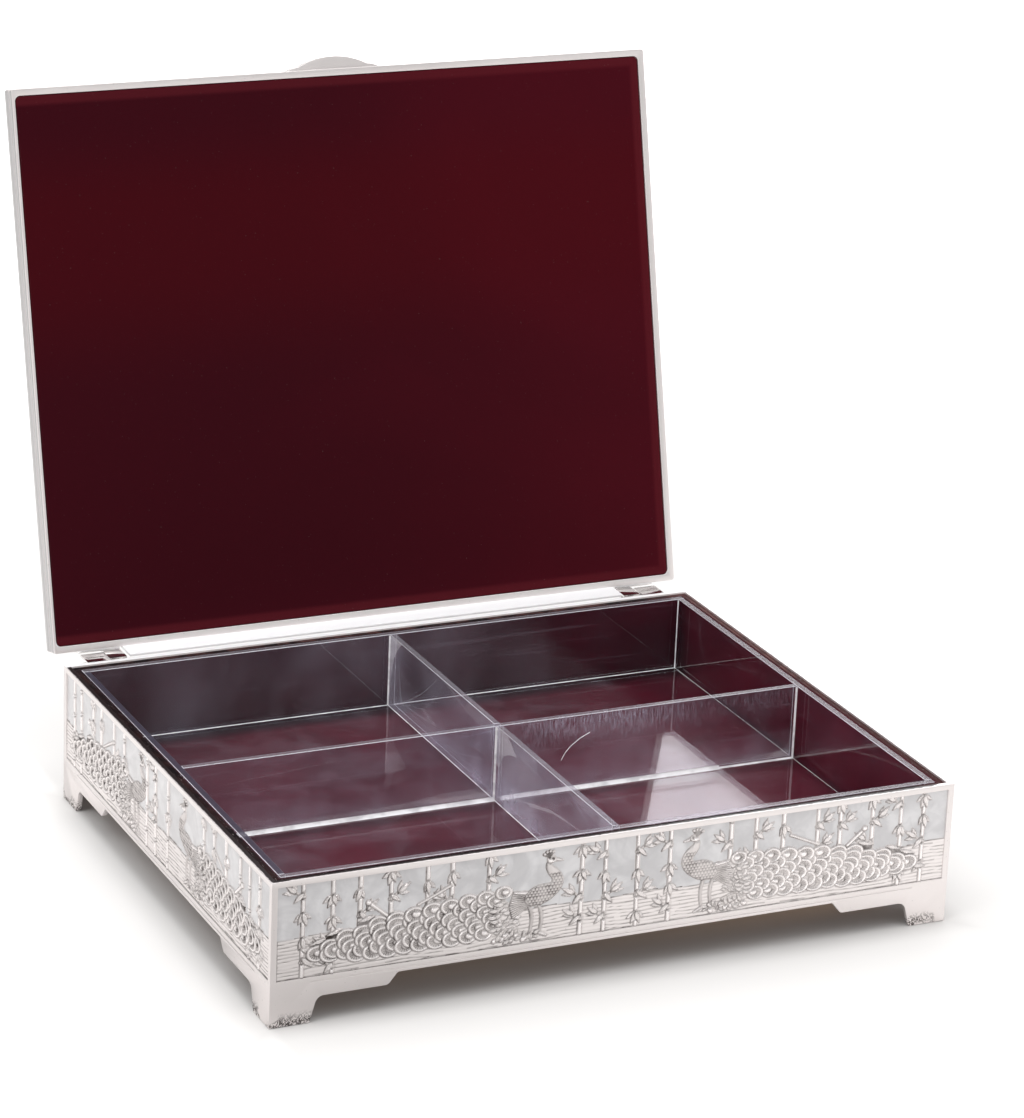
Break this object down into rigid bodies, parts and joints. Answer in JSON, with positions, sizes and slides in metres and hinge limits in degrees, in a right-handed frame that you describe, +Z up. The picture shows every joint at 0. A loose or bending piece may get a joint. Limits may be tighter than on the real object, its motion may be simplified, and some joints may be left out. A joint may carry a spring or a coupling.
{
  "type": "dry fruit box",
  "caption": "Low rectangular serving box with bracket feet, bamboo relief sides, a hinged lid held open on its stop and a clear lift-out divided tray.",
  "frame": {"origin": "on the table under the middle of the whole box with its lid open", "axes": "+X along the box to the viewer's right, +Y from the front towards the hinges, +Z up"},
  "size_m": [0.254, 0.2755, 0.2553],
  "materials": {
    "silver_plate": "silver-plated cast zinc, soft polish, darkened in the recesses",
    "pearl_enamel": "grey mother-of-pearl enamel, gloss",
    "burgundy_lacquer": "high-gloss burgundy lacquer on board",
    "clear_acrylic": "clear sheet, cut and glued",
    "hinge_metal": "plated stamped sheet",
    "flocked_card": "flocked card"
  },
  "bodies": {
    "box": {"front_plinth": "silver_plate", "back_plinth": "silver_plate", "left_plinth": "silver_plate", "right_plinth": "silver_plate", "front_frieze": "silver_plate", "back_frieze": "silver_plate", "left_frieze": "silver_plate", "right_frieze": "silver_plate", "front_enamel": "pearl_enamel", "back_enamel": "pearl_enamel", "left_enamel": "pearl_enamel", "right_enamel": "pearl_enamel", "front_liner": "burgundy_lacquer", "back_liner": "burgundy_lacquer", "left_liner": "burgundy_lacquer", "right_liner": "burgundy_lacquer", "floor_board": "burgundy_lacquer", "left_box_leaf": "hinge_metal", "right_box_leaf": "hinge_metal", "left_hinge_pin": "hinge_metal", "right_hinge_pin": "hinge_metal", "base_cover": "flocked_card"},
    "lid": {"lid_frame": "silver_plate", "lid_enamel": "pearl_enamel", "lining_board": "burgundy_lacquer", "left_lid_leaf": "hinge_metal", "right_lid_leaf": "hinge_metal"},
    "tray": {"tray_floor": "clear_acrylic", "tray_front_wall": "clear_acrylic", "tray_back_wall": "clear_acrylic", "tray_left_wall": "clear_acrylic", "tray_right_wall": "clear_acrylic", "long_divider": "clear_acrylic", "cross_divider": "clear_acrylic"}
  },
  "joints": [
    {"name": "lid_hinge", "type": "hinge", "parent": "box", "child": "lid", "pos_m": [0, 0.07414, 0.0476], "axis": [-1, 0, 0], "range_deg": [-104, 0]},
    {"name": "tray_lift", "type": "slide", "parent": "box", "child": "tray", "axis": [0, 0, 1], "range_m": [0, 0.06]}
  ]
}
